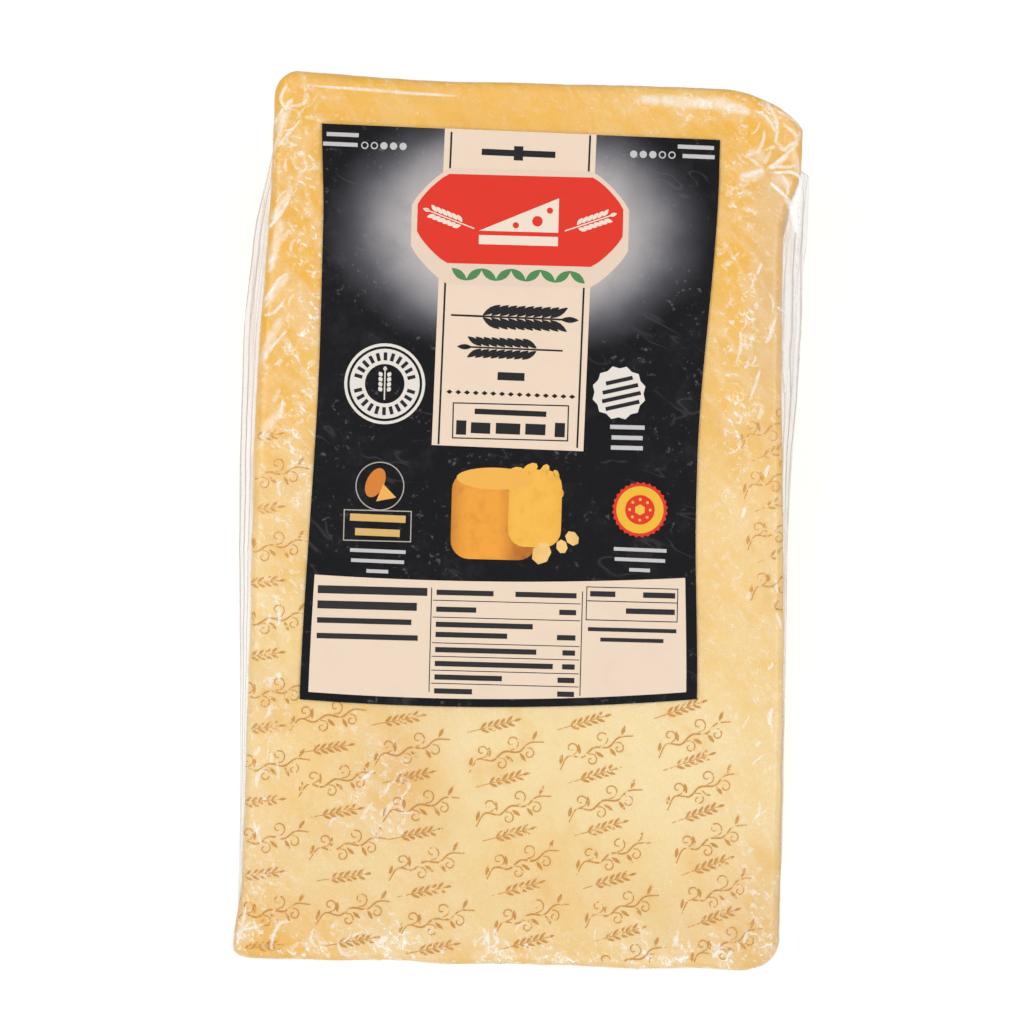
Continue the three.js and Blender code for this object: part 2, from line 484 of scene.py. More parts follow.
golden = 0.2 + smoothstep(cheese_v, 45, 200) * 0.78
golden += spots(cheese_x, cheese_v, [
    (-62, 160, 12, 40, 0.22), (-58, 8, 22, 13, 0.6), (62, 8, 18, 12, 0.25), (-25, 45, 16, 16, 0.58),
    (-5, 0, 60, 5, 0.3), (52, 70, 14, 26, 0.12), (64, 200, 10, 12, 0.15), (14, 50, 32, 14, -0.72),
    (-50, 58, 9, 20, 0.3), (50, 208, 34, 5, -0.2), (55, 196, 11, 10, 0.3), (58, 105, 12, 62, 0.14),
    (-56, 130, 10, 50, 0.1), (35, 25, 24, 12, 0.05), (20, 10, 30, 12, 0.1)])
side = np.maximum(smoothstep(cheese_v, LENGTH - 2.2, LENGTH - 0.6),
                  smoothstep(cheese_x - right_edge(cheese_v), -1.6, -0.3))
note(cheese, "golden", np.clip(golden, 0, 1.2))
tan = 0.2 * (1 - smoothstep(cheese_v, 15, 48)) + spots(cheese_x, cheese_v, [
    (66, 5, 16, 20, 0.3), (-25, 45, 14, 14, 0.4), (66, 100, 8, 80, 0.14), (-12, 60, 40, 5, 0.1)])
note(cheese, "tan", np.clip(tan, 0, 0.6))
note(cheese, "veil_and_shade", smoothstep(cheese_x, 52, 58) * smoothstep(cheese_v, 118, 150)
     * (1 - smoothstep(cheese_v, 184, 198)))
note(cheese, "rind", side * (cheese_h < thickness(cheese_v) - 1.2))

# %% [markdown]
# The colour runs from pale straw to gold. Three sizes of noise make it natural: broad clouds, small grains and
# tiny white crystals. The film is drawn tight over the cheese, so its gloss is a clear coat on the same surface,
# and a bump of small lumps breaks the reflections up.

# %% the cheese's finish
paste = Finish("hard_cheese")
gold = paste.noted("golden") + (paste.noise(24, 4) - 0.5) * 0.9 + (paste.noise(5, 2) - 0.5) * 0.3
body_colour = paste.mixed(gold.ease(-0.05, 1.15), paint("F7DEA4"), paint("F3B536"))
grains = paste.noise(0.9, 3, rough=0.7)
body_colour = paste.mixed((grains - 0.5).size().ease(0.02, 0.35) * 0.2, body_colour, paint("FBE9C4"))
paler = paste.noise(2.6, 4, rough=0.7).ease(0.54, 0.74) * 0.3 + paste.noise(6, 3).ease(0.6, 0.8) * 0.2
body_colour = paste.mixed(paler, body_colour, paint("FBE8C0"))
body_colour = paste.mixed(paste.noted("tan") + paste.noise(18, 3).ease(0.5, 0.75) * 0.12, body_colour, paint("DDB174"))
# duller and greyer under the loose film on the right: partly its haze, partly painted shade
body_colour = paste.mixed(paste.noted("veil_and_shade") * (0.12 + paste.noise(9, 3) * 0.5), body_colour, paint("D9BB96"))
amber = paste.noise(13, 3, paste.stretched(35, (1, 0.6, 1)), 0.6).ease(0.5, 0.72) * 0.5
body_colour = paste.mixed(amber, body_colour, paint("EAB65A"))
crystals = paste.cells(2.6).ease(0.1, 0.04) * paste.noise(14).ease(0.5, 0.65)
body_colour = paste.mixed(crystals * 0.7, body_colour, paint("FFF6DC"))
rind_colour = paste.mixed(paste.noise(6, 4), paint("D9A555"), paint("E8BE72"))
body_colour = paste.mixed(paste.noted("rind"), body_colour, rind_colour)
relief = paste.bump(paste.noise(1.6, 4, rough=0.65), 0.25)
relief = paste.bump(paste.noise(7, 2), 0.6, relief)
cheese.data.materials.append(paste.finish(Base_Color=body_colour, Roughness=0.38, Normal=relief,
                                          Coat_Weight=0.2, Coat_Roughness=0.2, Specular_IOR_Level=0.3))
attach(cheese, "root")
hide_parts("sealed_pack")

# %% [markdown]
# ## The film
#
# Vacuum film is clear, but where it loses touch with the cheese it shows white: flecks, rings, worm-like veins and
# hazy patches where it is drawn tight. The white of the flecks is painted into the film's colour: partly the air and
# whey pockets themselves, partly a painted highlight where light catches the lifted film. A second block a little
# finer than the cheese's is laid just outside it.
# How thick the flecks lie is again a map of soft spots: many beside the label, few in the middle of the top band.

# %% the film's skin
film, film_x, film_v, _ = wedge_block("film", (112, 184, 56))
pick(film)
bpy.ops.object.shade_smooth()

fleck_and_highlight = 0.34 + spots(film_x, film_v, [
    (-51, 150, 4, 50, 0.5), (52, 155, 4, 40, 0.45), (-56, 195, 6, 8, 0.2), (0, 1, 80, 5, 0.5),
    (-30, 40, 8, 11, 0.45), (-29, 8, 6, 7, 0.4), (45, 205, 17, 3, 0.55), (0, 202, 40, 5, -0.2),
    (10, 35, 40, 22, -0.24), (-58, 60, 6, 50, 0.1), (-60, 8, 8, 12, 0.35), (60, 10, 8, 14, 0.3),
    (60, 100, 8, 60, 0.08), (-58, 100, 5, 40, 0.12)])
facing = np.empty(len(film.data.vertices) * 3)
film.data.vertices.foreach_get("normal", facing)
facing = facing.reshape(-1, 3) @ face_normal
fleck_and_highlight *= 0.2 + 0.8 * smoothstep(np.abs(facing - 0.35), 0.1, 0.45)  # few on the rounded edges, where they'd look grey
note(film, "fleck_and_highlight", np.clip(fleck_and_highlight, 0, 1))
print("film faces:", len(film.data.polygons))

# %% the film's finish
skin = Finish("vacuum_film")
much = skin.noted("fleck_and_highlight")
slant = skin.stretched(36, (1, 0.33, 1))
membrane = (skin.noise(8, 3, slant, 0.55, 0.25) - 0.5).size().ease(0.1, 0.0)
haze = skin.noise(10, 3, skin.stretched(80, (1, 0.4, 1), (31, 7, 0)), 0.6).ease(0.48, 0.78)
cluster = skin.noise(9, 1, skin.stretched(shift=(3, 9, 5)))
dabs = skin.noise(0.95, 1, skin.stretched(52, (1, 0.5, 1), (7, 3, 1)), 0.4, 0.4).ease(0.58, 0.74)
worms = (skin.noise(2.0, 1, skin.stretched(shift=(11, 0, 4)), 0.6, 0.8) - 0.5).size().ease(0.06, 0.01)
lace = skin.cells(1.2, skin.stretched(20, (1, 0.7, 1)), "DISTANCE_TO_EDGE").ease(0.16, 0.02)
broken = skin.noise(2.6, 1, skin.stretched(shift=(8, 1, 2)))
# the white flecks: partly air and whey pockets under the film, partly painted highlight
flecks_and_highlights = dabs * cluster.ease(0.36, 0.56) + worms * broken.ease(0.5, 0.66) * 0.75
flecks_and_highlights = flecks_and_highlights + lace * cluster.ease(0.54, 0.62) * broken.ease(0.42, 0.6) * 0.5
flecks_and_highlights = flecks_and_highlights * much.ease(0.08, 0.8)
cloud = (haze * 0.2 + membrane * 0.3) * (0.04 + much)
alpha = 0.012 + cloud + flecks_and_highlights * 0.62
film_colour = skin.mixed(flecks_and_highlights.ease(0.0, 0.5), paint("FBE9CE"), paint("FFFCF0"))
wrinkle = skin.bump(membrane + cluster, 0.25)
film.data.materials.append(skin.finish(Base_Color=film_colour, Roughness=0.3, Normal=wrinkle, Alpha=alpha))
film.visible_shadow = film.visible_diffuse = False  # so thin a film casts no shadow, and this halves the work
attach(film, "root")
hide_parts("sealed_pack")

# %% [markdown]
# ## The welded margin
#
# The bag is two layers of film welded together around three sides. The margin stands out from the sides at half the
# thickness, and the film runs up and down from it on to the cheese in a hollow curve.
# A cylinder's rings become the margin's cross-sections: its points are moved to the section's outline, and its
# rings are spread evenly over the stations along the seam. It is closed inside the cheese, where nothing shows.

# %% stations along the seam
def seam_left(v):
    return (-62.2 - 0.7 * smoothstep(v, 5, 18) - 3.3 * smoothstep(v, 20, 130) + 1.6 * smoothstep(v, 150, 178)
            + 3.8 * smoothstep(v, 174, 199))


def seam_right(v):
    return 64.6 + 2.0 * smoothstep(v, 5, 30) + 2.6 * smoothstep(v, 100, 165)


def seam_stations():
    """Outer edge of the seam and the foot of each cross-section on the cheese: (x, v, foot x, foot v)."""
    stations = [(float(seam_left(v)), v, float(left_edge(v)) + 0.2, v) for v in np.arange(6, 197, 2.0)]
    stations += [(-59.3, 202, -57.6, 201), (-57.2, LENGTH - 2.6, -55.2, LENGTH - 3.5)]
    for x in np.arange(-52, 57, 2.0):
        drawn_in = 0.0024 * max(0, x - 36) ** 2 - float(rind_lean(x))
        stations.append((x, LENGTH + 1.6 - drawn_in, x * 0.985, LENGTH - 1.0 - drawn_in))
    stations += [(61, LENGTH - 4.4, 59, LENGTH - 5.5), (64.8, LENGTH - 8.6, 63, LENGTH - 9.6),
                 (67.2, LENGTH - 13, 65.4, LENGTH - 14)]
    stations += [(float(seam_right(v)), v, float(right_edge(v)) - 0.2, v) for v in np.arange(193, 6, -2.0)]
    return np.array(stations, float)


stations = seam_stations()
print("seam stations:", len(stations))

# %% [markdown]
# A cross-section is a row of corners: how far out each stands, from 0 at the foot to 1 at the outer edge, and how
# far above or below the weld. SECTION is in mm, for the tight film. Where the bag spans loosely near the rind, the
# film runs straight from the weld up to the face like a TENT, or is PUFFED out on the right; there 1 is half the
# pack's thickness.

# %% the margin's rings
RINGS = 102
SECTION = np.array([
    (-0.3, 0.0), (-0.25, 5.0), (0.0, 8.5), (0.03, 5.0), (0.08, 2.4), (0.2, 0.9), (0.55, 0.3), (0.99, 0.12),
    (0.99, -0.12), (0.55, -0.3), (0.2, -0.9), (0.08, -2.4), (0.03, -5.0), (0.0, -8.5), (-0.25, -5.0), (-0.28, -1)])
TENT_TOP = [
    (-0.3, 0.0), (-0.25, 0.55), (0.0, 0.93), (0.15, 0.8), (0.36, 0.58), (0.58, 0.36), (0.82, 0.14), (0.99, 0.01)]
PUFFED_TOP = [
    (-0.3, 0.0), (-0.25, 0.55), (0.0, 0.97), (0.25, 0.965), (0.5, 0.95), (0.76, 0.91), (0.94, 0.7), (0.99, 0.01)]
UNDERSIDE = [(share, -rise) for share, rise in TENT_TOP[:0:-1]] + [(-0.28, -0.1)]
TENT, PUFFED = np.array(TENT_TOP + UNDERSIDE), np.array(PUFFED_TOP + UNDERSIDE)


def margin_shape(at, corner):
    """Where the margin's points lie, and how far out each stands; at counts the stations along the seam."""
    x, v, foot_x, foot_v = (np.interp(at, np.arange(len(stations)), column) for column in stations.T)
    half = thickness(v) / 2
    share, rise = SECTION[corner].T
    rise = rise * np.minimum(1, half / 10) * (1 - 0.7 * smoothstep(v, LENGTH - 12, LENGTH - 4))
    puffed = (smoothstep(v, 160, 176) * (1 - smoothstep(v, 190, 197)) * (x > 0))[:, None]
    tent_share, tent_rise = (TENT[corner] * (1 - puffed) + PUFFED[corner] * puffed).T
    spanned = smoothstep(v, 128, 152) * (1 - smoothstep(v, 190, 197)) * np.where(x > 0, 1.0, 0.45)
    share = share + (tent_share - share) * spanned
    rise = rise + (tent_rise * half - rise) * spanned
    wave = 0.35 * np.sin(at * 0.55) * np.clip(share, 0, 1)
    return on_wheel(foot_x + (x - foot_x) * share, foot_v + (v - foot_v) * share, half + rise + wave), share


deselect()
bpy.ops.mesh.primitive_cylinder_add(vertices=len(SECTION), radius=1, depth=2)
margin = bpy.context.object
margin.name = margin.data.name = "film_margin"
cut_edges(margin, 2, RINGS - 2)
round_x, round_y, height = points(margin).T
corner = np.round(np.arctan2(round_y, round_x) / (2 * math.pi) * len(SECTION)).astype(int) % len(SECTION)
margin_places, margin_share = margin_shape((height + 1) / 2 * (len(stations) - 1), corner)
move_points(margin, margin_places)
note(margin, "out", margin_share)
pick(margin)
on_all(bpy.ops.mesh.normals_make_consistent, inside=False)
bpy.ops.object.shade_smooth()

# %% [markdown]
# Seen from above, the margin shows thin long lines where the film is folded. Each line keeps its place across the
# margin, read from the number "out" on its points, and wanders a little along the way.

# %% the margin's finish
clear = Finish("film_margin_finish")
upright = clear.stretched(90, (0.03, 1, 0.1))
out = clear.noted("out") + (clear.noise(34, 1) - 0.5) * 0.3 + (clear.noise(5, 1) - 0.5) * 0.07
lines = (clear.noise(3.5, 2, upright, 0.5) - 0.5).size().ease(0.05, 0.0) * clear.noise(9, 1).ease(0.35, 0.6) * 0.4
for fold_at, fold_strength in ((0.4, 0.7), (0.66, 1.0), (0.93, 0.85)):
    lines = lines.most((out - fold_at).size().ease(0.045, 0.01) * fold_strength)
# painted highlight streaks along the margin, white at extra alpha
shine = clear.noise(2.4, 2, clear.stretched(90, (0.05, 1, 0.1), (5, 3, 1)), 0.5).ease(0.52, 0.7)
margin_alpha = 0.14 + (lines * 0.42).most(shine * 0.3)
margin_tone = clear.mixed(lines, clear.mixed(shine, paint("DFE1E4"), paint("FFFFFF", 1)), paint("C2BEBD"))
margin.data.materials.append(clear.finish(Base_Color=margin_tone, Roughness=0.15, Alpha=margin_alpha))
margin.visible_shadow = False
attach(margin, "root")
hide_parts("sealed_pack")

# %% [markdown]
# ## Laying flat work on the sloping face
#
# The label, its print and the creases are drawn flat first, x across and v along, which is how one thinks of them.
# lay_on_face then lifts each point on to the cut face, following its unevenness, at a height above the film.
# A wide flat face would bridge the hollows, so the flat work is first cut along a grid of lines 4 mm apart.

# %% cut along a grid, lay on the face
INK_THICKNESS = 0.02  # mm


def slice_grid(piece, step=4.0):
    """Cuts the piece along lines step mm apart, across and along."""
    pick(piece)
    bpy.context.tool_settings.mesh_select_mode = (True, False, False)
    table = points(piece) / MM
    low, high = table.min(axis=0), table.max(axis=0)
    bpy.ops.object.mode_set(mode="EDIT")
    for axis in (0, 1):
        for line in np.arange(math.ceil(low[axis] / step) * step, high[axis], step):
            place, normal = [0.0, 0.0, 0.0], [0.0, 0.0, 0.0]
            place[axis], normal[axis] = line * MM, 1.0
            bpy.ops.mesh.select_all(action="SELECT")
            bpy.ops.mesh.bisect(plane_co=place, plane_no=normal)
    bpy.ops.object.mode_set(mode="OBJECT")


def lay_on_face(piece, lift):
    x, v, z = (points(piece) / MM).T
    move_points(piece, on_wheel(x, v, thickness(v) + unevenness(x, v) + lift + z))


def thicken(piece, height):
    solid = piece.modifiers.new("thickness", "SOLIDIFY")
    solid.thickness, solid.offset = height * MM, 1.0
    apply_modifiers(piece)


# %% [markdown]
# What lies on the film, up to its rounded edges and out on the margin, can't follow a formula any more. It is
# dropped on the film instead: from above each flat point a ray goes down along the camera's line, and the point
# takes the place where the ray hits. Points that miss the pack are removed with their faces.

# %% drop on the film
corners_of_skin, faces_of_skin = [], []
for layer in (film, margin):
    first = len(corners_of_skin)
    corners_of_skin += [Vector(place) for place in points(layer)]
    faces_of_skin += [[first + n for n in face.vertices] for face in layer.data.polygons]
skin_tree = BVHTree.FromPolygons(corners_of_skin, faces_of_skin)
down = Vector(-face_normal)


RAY_START = 12  # mm above the face


def lay_on_film(piece, lift, least):
    """lift: mm above the film. least: how far the film must face up, as a cosine, so that nothing is drawn out
    long down the sides."""
    x, v, z = (points(piece) / MM).T
    above = on_wheel(x, v, thickness(v)) + face_normal * RAY_START * MM
    placed, missed = points(piece), np.zeros(len(x), bool)
    for n, start in enumerate(above):
        hit, normal, _, _ = skin_tree.ray_cast(Vector(start), down)
        missed[n] = hit is None or -normal.dot(down) < least
        if hit is not None:
            placed[n] = hit + normal * (lift + z[n]) * MM
    move_points(piece, placed)
    drop_points(piece, missed)


def drop_points(piece, unwanted):
    select_only(piece, "vertices", unwanted)
    bpy.context.tool_settings.mesh_select_mode = (True, False, False)
    pick(piece)
    bpy.ops.object.mode_set(mode="EDIT")
    bpy.ops.mesh.delete(type="VERT")
    bpy.ops.object.mode_set(mode="OBJECT")


# %% [markdown]
# ## The label
#
# A sheet of paper, slightly waisted by the pull of the film, with a bowed lower edge. A grid is added, its points
# are moved to the outline, it gets a paper's thickness and is laid on the face. Its flat place is kept in a UV map
# first, 100 mm to one unit, so that the soft glow stays where it is drawn.

# %% the paper
LABEL_FOOT, LABEL_HEIGHT = 61.2, 136.5
PAPER_LIFT, PRINT_LIFT = 0.35, 0.55  # above the cheese's face, in mm
UV_UNIT = 100  # mm


def label_left(v):
    return -46.6 - 2.7 * (1 - smoothstep(v, 55, 150)) - 0.9 * smoothstep(v, 175, 200)


def label_right(v):
    return 43.6 + 3.4 * smoothstep(v, 118, 190) + 1.4 * (1 - smoothstep(v, 60, 108))


def label_top(x):
    return 197.7 - 0.015 * x


def label_bottom(x):
    return LABEL_FOOT + 0.03 * x + 0.00084 * x * x


def waisted(piece):
    """Moves points given as shares of the label's width and height to the label's outline."""
    across, along, z = points(piece).T
    level = LABEL_FOOT + LABEL_HEIGHT * along
    x = label_left(level) + (label_right(level) - label_left(level)) * across
    v = label_bottom(x) + (label_top(x) - label_bottom(x)) * along
    move_points(piece, np.stack([x * MM, v * MM, z], axis=1))


deselect()
bpy.ops.mesh.primitive_grid_add(x_subdivisions=48, y_subdivisions=64, size=1, location=(0.5, 0.5, 0))
paper = bpy.context.object
paper.name = paper.data.name = "label_sheet"
bpy.ops.object.transform_apply(location=True)
waisted(paper)
thicken(paper, 0.2)
flat_places = points(paper) / MM / UV_UNIT
corners = np.empty(len(paper.data.loops), int)
paper.data.loops.foreach_get("vertex_index", corners)
paper.data.uv_layers[0].data.foreach_set("uv", flat_places[corners][:, :2].astype(np.float32).ravel())
lay_on_face(paper, PAPER_LIFT)
pick(paper)
bpy.ops.object.shade_smooth_by_angle(angle=math.radians(40))

# %% the label's dark field and glow
dark = Finish("label_field")
flat = dark.node("ShaderNodeUVMap", {"uv_map": paper.data.uv_layers[0].name})
shifted = dark.node("ShaderNodeMapping", {}, {"Vector": flat, "Location": (0.005, -2.613, 0), "Scale": (1, 1.5, 1)})
distance = dark.node("ShaderNodeVectorMath", {"operation": "LENGTH"}, {0: shifted}, "Value")
away = distance * UV_UNIT + (dark.noise(12, 3) - 0.5) * 6
glow_colour = dark.mixed(away.ease(48, 27), paint("08090F"), paint("75757D"))
glow_colour = dark.mixed(away.ease(40, 19), glow_colour, paint("CCC5C2"))
mottle = dark.noise(9, 5, rough=0.7).ease(0.5, 0.72) * 0.16
glow_colour = dark.mixed(mottle, glow_colour, paint("4A4A50"))
# painted highlights along the paper's creases; the specks below are pale specks in the paper
glints = (dark.noise(15, 3, dark.stretched(64, (1, 0.35, 1)), 0.6, 0.3) - 0.5).size().ease(0.012, 0.0)
glints = glints * dark.noise(11, 1).ease(0.5, 0.62) * 0.05
specks = dark.noise(1.5, 2, rough=0.6).ease(0.6, 0.74) * dark.noise(13, 2).ease(0.42, 0.6) * 0.16
glints = glints.most(specks)
glow_colour = dark.mixed(glints, glow_colour, paint("B9B6BA"))
crumple = dark.bump(dark.noise(5, 4, dark.stretched(60, (1, 0.6, 1)), 0.6), 0.35)
paper.data.materials.append(dark.finish(Base_Color=glow_colour, Roughness=0.4, Normal=crumple,
                                        Specular_IOR_Level=0.12))
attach(paper, "root")
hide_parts("label")
print("label size in mm:", [round(float(s), 1) for s in np.ptp(flat_places, axis=0) * UV_UNIT])

# %% [markdown]
# ## The label's print
#
# The print is plain fields of colour and simple shapes. Each ink is one piece: its shapes are added flat, as
# planes, circles and rings, joined, cut along the grid, made 0.02 mm thick and laid on the paper. Inks that lie
# over others sit a little higher, which no eye can see and which keeps the surfaces apart.

# %% shapes for an ink
inks = {}


def settle(ink):
    """Gives the new shape its place in its mesh and keeps it with its ink."""
    shape = bpy.context.object
    bpy.ops.object.transform_apply(location=True, rotation=True, scale=True)
    inks.setdefault(ink, []).append(shape)
    return shape


def bar(ink, x, v, width, height, turn=0.0):
    deselect()
    bpy.ops.mesh.primitive_plane_add(size=1, location=(x * MM, v * MM, 0), rotation=(0, 0, math.radians(turn)))
    bpy.context.object.scale = (width * MM, height * MM, 1)
    return settle(ink)


def disc(ink, x, v, across, along=None, corners=40, turn=0.0, hole=0.0):
    """A disc or a polygon of few corners; hole is the width of the ring that stays, or 0 for a full disc."""
    deselect()
    bpy.ops.mesh.primitive_circle_add(vertices=corners, radius=0.5, fill_type="NGON", location=(x * MM, v * MM, 0),
                                      rotation=(0, 0, math.radians(turn)))
    bpy.context.object.scale = (across * MM, (along or across) * MM, 1)
    shape = settle(ink)
    if hole:
        bpy.ops.object.mode_set(mode="EDIT")
        bpy.ops.mesh.select_all(action="SELECT")
        bpy.ops.mesh.inset(thickness=hole * MM)
        bpy.ops.mesh.delete(type="FACE")
        bpy.ops.object.mode_set(mode="OBJECT")
    return shape


def sunburst(ink, x, v, across, teeth, depth):
    """A disc with a toothed edge: every second corner is drawn in."""
    shape = disc(ink, x, v, across, corners=teeth * 2)
    table = points(shape)
    centre = np.array([x * MM, v * MM, 0])
    table[::2] = centre + (table[::2] - centre) * (1 - depth)
    move_points(shape, table)


def frame_line(ink, left, right, bottom, top, width):
    for x in (left, right):
        bar(ink, x, (top + bottom) / 2, width, top - bottom + width)
    for v in (bottom, top):
        bar(ink, (left + right) / 2, v, right - left - width, width)


def leaf(ink, x, v, length, width, turn):
    shape = disc(ink, 0, 0, length, width, corners=14)
    table = points(shape)
    table[:, 1] *= 1 - 0.6 * np.abs(table[:, 0] / (length * MM / 2)) ** 2
    a = math.radians(turn)
    table = table @ np.array([[math.cos(a), math.sin(a), 0], [-math.sin(a), math.cos(a), 0], [0, 0, 1]])
    move_points(shape, table + np.array([x * MM, v * MM, 0]))


def ear_of_wheat(ink, x, v, length, turn, grains=5, plump=1.0):
    """A stem with grains in pairs, the plainest ornament for a farm's goods."""
    a = math.radians(turn)
    along, across = np.array([math.cos(a), math.sin(a)]), np.array([-math.sin(a), math.cos(a)])
    start = np.array([x, v]) - along * length / 2
    bar(ink, x, v, length, length * 0.022 * plump, turn)
    for n in range(grains):
        at = start + along * length * (0.3 + 0.62 * n / grains)
        for side in (-1, 1):
            spot = at + across * side * length * 0.075 * plump + along * length * 0.03
            leaf(ink, *spot, length * 0.17, length * 0.075 * plump, turn + side * 32)
    leaf(ink, *(start + along * length * 0.97), length * 0.15, length * 0.07 * plump, turn)


# %% [markdown]
# The cream centre band, with a framed foot and a fine double line, carries wheat ears and bars in place of words.

# %% the centre band
SLOPE = -0.9  # the label lies slightly turned on the face
bar("cream", -0.9, 160.2, 36.0, 75.2, SLOPE)
for x in (-17.3, 15.6):
    bar("black", x, 160.2, 0.45, 74.2, SLOPE)
bar("black", -0.7, 192.6, 17.5, 1.5, SLOPE)
bar("black", -0.7, 192.6, 2.2, 3.4, SLOPE)
ear_of_wheat("black", -1.2, 153.6, 29, SLOPE, 9, 0.72)
ear_of_wheat("black", -1.0, 146.2, 24, 180 + SLOPE, 8, 0.78)
bar("black", -1.1, 139.6, 6.4, 1.9, SLOPE)
for n in range(15):
    disc("black", -15.6 + n * 2.08, 135.6 - n * 0.03, 1.5, 1.1, 4)
frame_line("black", -14.6, 12.7, 124.7, 133.0, 0.3)
bar("black", -1.0, 131.0, 17.0, 1.3, SLOPE)
for x, width in ((-8.0, 4.6), (-1.5, 5.8), (5.0, 4.8)):
    bar("black", x, 127.2, width, 2.6, SLOPE)
for x in (-12.6, 10.8):
    bar("black", x, 127.2, 2.4, 3.4, SLOPE)

# %% [markdown]
# The large red emblem is a plaque of its own, with a cream rim, drawn as a wide eight-sided shape: a cream wedge
# of cheese between two ears of wheat, and green leaves under it.

# %% the red plaque
def cornered_bar(ink, x, v, width, height, cut, segments=6, profile=0.5):
    """A bar whose corners are rounded over cut mm; a profile of less than 0.5 leaves them flatter."""
    bar(ink, x, v, width, height)
    on_all(bpy.ops.mesh.bevel, offset=cut * MM, segments=segments, profile=profile, affect="VERTICES")


cornered_bar("cream_rim", 0.1, 174.9, 51.6, 27.6, 9.0, profile=0.32)
cornered_bar("red", 0.1, 176.7, 48.8, 21.2, 7.4, profile=0.32)
wedge_icon = disc("rim_2", 0.2, 178, 12.5, 12.5, 3, 0)
table = points(wedge_icon)
table[:, :2] = np.array([(-9.6, 174.0), (9.2, 174.0), (9.2, 182.2)]) * MM
move_points(wedge_icon, table)
bar("rim_2", -0.2, 171.9, 18.8, 2.2)
for x, v, size in ((4.2, 176.6, 2.5), (-0.9, 175.5, 1.5), (7.1, 179.2, 1.5)):
    disc("red_2", x, v, size, corners=18)
ear_of_wheat("rim_2", -16.6, 176.6, 12.5, 160, 6, 1.05)
ear_of_wheat("rim_2", 16.6, 176.6, 12.5, 20, 6, 1.05)
for n in range(9):
    leaf("green", (n - 4) * 3.5, 163.7 - abs(n - 4) * 0.04, 4.6, 1.9, 38 if n % 2 else -38)
print("shapes so far:", {ink: len(shapes) for ink, shapes in inks.items()})

# %% [markdown]
# Rating dots, seals, the picture of the wheel and the small bars that stand for lines of print follow the photo's
# places and sizes. The seals are plain rings, teeth and dots: they certify nothing.

# %% rating dots and bars in the upper corners
for n in range(5):
    disc("grey", -37.2 + n * 2.27, 193.5, 1.75, corners=16, hole=0.0 if n > 1 else 0.28)
    disc("grey", 26.6 + n * 2.27, 193.1, 1.75, corners=16, hole=0.0 if n < 3 else 0.28)
for x, v, width in ((-42.5, 195.9, 7.6), (-43.0, 193.6, 8.2), (41.3, 195.1, 8.6), (42.0, 192.9, 7.6)):
    bar("grey", x, v, width, 0.95, SLOPE)

# %% the seals
disc("pale", -31.0, 137.1, 19.2, corners=48, hole=0.7)
disc("pale", -31.0, 137.1, 16.6, corners=48, hole=3.6)
for n in range(24):
    a = 2 * math.pi * n / 24
    if n % 12:
        bar("black", -31 + 6.5 * math.cos(a), 137.1 + 6.5 * math.sin(a), 1.9, 0.85, math.degrees(a))
ear_of_wheat("pale", -31.0, 137.1, 7.6, 90, 4, 1.8)

sunburst("pale", 24.6, 136.4, 12.9, 12, 0.1)
for n, width in enumerate((6.5, 8.6, 9.4, 8.2)):
    bar("black", 24.6 + 0.3 * n, 139.3 - 1.95 * n, width, 0.95, 14)
for v, width in ((128.3, 8.2), (125.8, 7.4), (123.4, 7.6)):
    bar("grey", 26.8, v, width, 1.0)

disc("fine_line", -31.5, 112.8, 11.6, corners=44, hole=0.25)
disc("orange", -32.6, 113.6, 4.2, 7.4, 24, -24)
disc("chip", -30.2, 110.9, 5.6, 5.0, 3, 12)
frame_line("fine_line", -39.8, -23.9, 99.8, 107.0, 0.25)
for v, width in ((105.2, 13.2), (101.8, 10.6)):
    bar("gold", -31.8, v, width, 1.7, SLOPE)
for v, width in ((97.4, 13.2), (95.0, 12.6), (92.6, 5.2)):
    bar("grey", -31.6, v, width, 0.85, SLOPE)
    bar("grey", 30.6, v + 1.9, width * 0.95, 0.85, SLOPE)

sunburst("red", 30.3, 108.8, 13.3, 28, 0.07)
disc("yellow", 30.3, 108.8, 11.2, corners=40)
disc("red_2", 30.3, 108.8, 7.0, corners=36)
for n in range(8):
    a = math.pi * n / 4
    disc("rim_3", 30.3 + 2.45 * math.cos(a), 108.8 + 2.45 * math.sin(a), 0.7, corners=8)
disc("rim_3", 30.3, 108.8, 2.6, corners=6)

# %% [markdown]
# The picture of a whole wheel: a drum seen from slightly above, its right half broken open, with three crumbs.

# %% the wheel's picture
cornered_bar("amber", -4.2, 106.5, 20.4, 20.8, 4.4)
disc("amber_top", -4.2, 115.3, 18.4, 5.2, 36)
cornered_bar("straw", 5.4, 108.5, 12.6, 18.4, 4.0, segments=5)
for x, v, size in ((0.8, 117.2, 3.6), (3.9, 117.7, 4.4), (7.4, 117.3, 3.8), (10.0, 116.0, 3.6), (11.4, 112.4, 2.4)):
    disc("straw", x, v, size, size * 0.56, 9, x * 9)
for x, v, size in ((7.2, 97.9, 5.6), (12.0, 99.6, 3.4), (14.4, 101.6, 3.8)):
    disc("crumb", x, v, size, size * 0.8, 7, x * 9)

# %% [markdown]
# The table panel at the foot: cream, with thin rules and short bars for its rows, in three columns.

